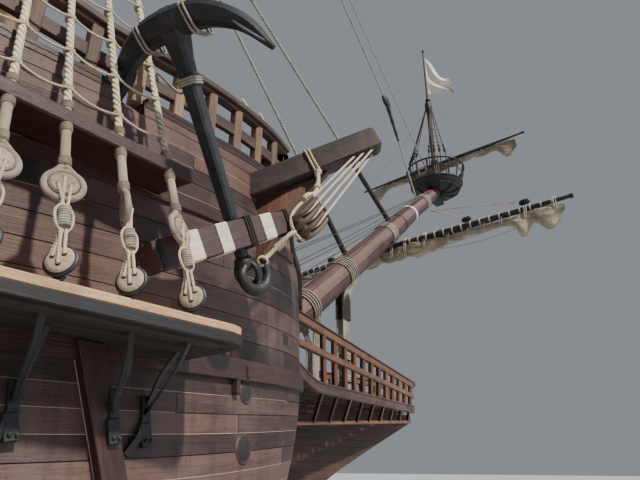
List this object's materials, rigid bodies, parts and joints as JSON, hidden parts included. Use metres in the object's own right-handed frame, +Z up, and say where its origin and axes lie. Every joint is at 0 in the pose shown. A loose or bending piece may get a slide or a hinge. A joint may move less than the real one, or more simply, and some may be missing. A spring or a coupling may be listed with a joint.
{
  "type": "half-scale three-masted sailing galleon model",
  "caption": "Three-masted wooden sailing galleon afloat, half-scale model with furled sails, anchors, beakhead, stern gallery and yards that swing.",
  "frame": {"origin": "on the waterline at the middle of the hull, on its centreline", "axes": "+X to the bow, +Y to port, +Z up from the waterline"},
  "size_m": [25.8825, 10.8, 20.5436],
  "materials": {
    "hull_planks": "oiled and weathered planks",
    "dark_timber": "tarred dark timber",
    "rail_timber": "oiled rails",
    "spar_wood": "varnished spars",
    "black_spar": "black tarred spars",
    "anchor_stock_timber": "weathered timber",
    "black_iron": "black painted iron",
    "canvas": "khaki sailcloth",
    "tarred_rope": "laid rope",
    "lantern_brass": "aged brass",
    "flag_cloth": "white flag cloth"
  },
  "bodies": {
    "root": {"hull": "hull_planks", "keel_and_stem": "dark_timber", "cathead_starboard": "hull_planks", "cathead_port": "hull_planks", "forecastle_rail": "rail_timber", "quarterdeck_rail": "rail_timber", "poop_rail": "rail_timber", "fore_channel_starboard": "dark_timber", "fore_channel_port": "dark_timber", "main_channel_starboard": "dark_timber", "main_channel_port": "dark_timber", "mizzen_channel_starboard": "dark_timber", "mizzen_channel_port": "dark_timber", "anchor_starboard": "black_iron", "anchor_port": "black_iron", "anchor_stock_starboard": "anchor_stock_timber", "anchor_stock_port": "anchor_stock_timber", "head_rails_starboard": "rail_timber", "head_rails_port": "rail_timber", "head_platform": "rail_timber", "stern_gallery": "rail_timber", "stern_lantern": "lantern_brass", "fore_lower_mast": "spar_wood", "fore_topmast": "spar_wood", "fore_top": "dark_timber", "main_lower_mast": "spar_wood", "main_topmast": "spar_wood", "main_top": "dark_timber", "mizzen_mast": "spar_wood", "bowsprit": "spar_wood", "sprit_topmast": "spar_wood", "sprit_top": "dark_timber", "fore_stay": "tarred_rope", "main_stay": "tarred_rope", "mizzen_stay": "tarred_rope", "fore_topmast_stay": "tarred_rope", "main_topmast_stay": "tarred_rope", "flag": "flag_cloth"},
    "rudder": {"rudder": "dark_timber"},
    "capstan": {"capstan": "dark_timber"},
    "fore_yard": {"fore_yard": "black_spar", "fore_sail": "canvas"},
    "fore_topsail_yard": {"fore_topsail_yard": "black_spar", "fore_topsail_sail": "canvas"},
    "main_yard": {"main_yard": "black_spar", "main_sail": "canvas"},
    "main_topsail_yard": {"main_topsail_yard": "black_spar", "main_topsail_sail": "canvas"},
    "sprit_topsail_yard": {"sprit_topsail_yard": "black_spar", "sprit_topsail_sail": "canvas"},
    "mizzen_yard": {"mizzen_yard": "black_spar", "mizzen_sail": "canvas"},
    "spritsail_yard": {"spritsail_yard": "black_spar", "spritsail_sail": "canvas"},
    "gunport_lid_starboard_1": {"gunport_lid_starboard_1": "dark_timber"},
    "gunport_lid_port_1": {"gunport_lid_port_1": "dark_timber"},
    "gunport_lid_starboard_2": {"gunport_lid_starboard_2": "dark_timber"},
    "gunport_lid_port_2": {"gunport_lid_port_2": "dark_timber"},
    "gunport_lid_starboard_3": {"gunport_lid_starboard_3": "dark_timber"},
    "gunport_lid_port_3": {"gunport_lid_port_3": "dark_timber"}
  },
  "joints": [
    {"name": "rudder_turn", "type": "hinge", "parent": "root", "child": "rudder", "pos_m": [-9.34476, 0, -0.24351], "axis": [-0.1133, 0, 0.9936], "range_deg": [-35, 35]},
    {"name": "capstan_spin", "type": "hinge", "parent": "root", "child": "capstan", "pos_m": [-3.25, 0, 3.15], "axis": [0, 0, 1], "continuous": true},
    {"name": "fore_yard_brace", "type": "hinge", "parent": "root", "child": "fore_yard", "pos_m": [4.65, 0, 10.4], "axis": [0, 0, 1], "range_deg": [-32, 32]},
    {"name": "fore_topsail_yard_brace", "type": "hinge", "parent": "root", "child": "fore_topsail_yard", "pos_m": [4.96, 0, 14], "axis": [0, 0, 1], "range_deg": [-32, 32]},
    {"name": "main_yard_brace", "type": "hinge", "parent": "root", "child": "main_yard", "pos_m": [-0.75, 0, 10.35], "axis": [0, 0, 1], "range_deg": [-32, 32]},
    {"name": "main_topsail_yard_brace", "type": "hinge", "parent": "root", "child": "main_topsail_yard", "pos_m": [-0.4, 0, 15.1], "axis": [0, 0, 1], "range_deg": [-32, 32]},
    {"name": "sprit_topsail_yard_brace", "type": "hinge", "parent": "root", "child": "sprit_topsail_yard", "pos_m": [14.5, 0, 8.5], "axis": [0, 0, 1], "range_deg": [-25, 25]},
    {"name": "mizzen_yard_swing", "type": "hinge", "parent": "root", "child": "mizzen_yard", "pos_m": [-6.6, 0, 8.75], "axis": [0, 0, 1], "range_deg": [-15, 15]},
    {"name": "spritsail_yard_brace", "type": "hinge", "parent": "root", "child": "spritsail_yard", "pos_m": [12, 0, 5.6142], "axis": [-0.6414, 0, 0.7672], "range_deg": [-20, 20]},
    {"name": "gunport_hinge_starboard_1", "type": "hinge", "parent": "root", "child": "gunport_lid_starboard_1", "pos_m": [1.65, -2.4673, 1.475], "axis": [1, 0, 0], "range_deg": [-100, 0]},
    {"name": "gunport_hinge_port_1", "type": "hinge", "parent": "root", "child": "gunport_lid_port_1", "pos_m": [1.65, 2.4673, 1.475], "axis": [1, 0, 0], "range_deg": [0, 100]},
    {"name": "gunport_hinge_starboard_2", "type": "hinge", "parent": "root", "child": "gunport_lid_starboard_2", "pos_m": [0.25, -2.4673, 1.475], "axis": [1, 0, 0], "range_deg": [-100, 0]},
    {"name": "gunport_hinge_port_2", "type": "hinge", "parent": "root", "child": "gunport_lid_port_2", "pos_m": [0.25, 2.4673, 1.475], "axis": [1, 0, 0], "range_deg": [0, 100]},
    {"name": "gunport_hinge_starboard_3", "type": "hinge", "parent": "root", "child": "gunport_lid_starboard_3", "pos_m": [-1.15, -2.4673, 1.475], "axis": [1, 0, 0], "range_deg": [-100, 0]},
    {"name": "gunport_hinge_port_3", "type": "hinge", "parent": "root", "child": "gunport_lid_port_3", "pos_m": [-1.15, 2.4673, 1.475], "axis": [1, 0, 0], "range_deg": [0, 100]}
  ]
}
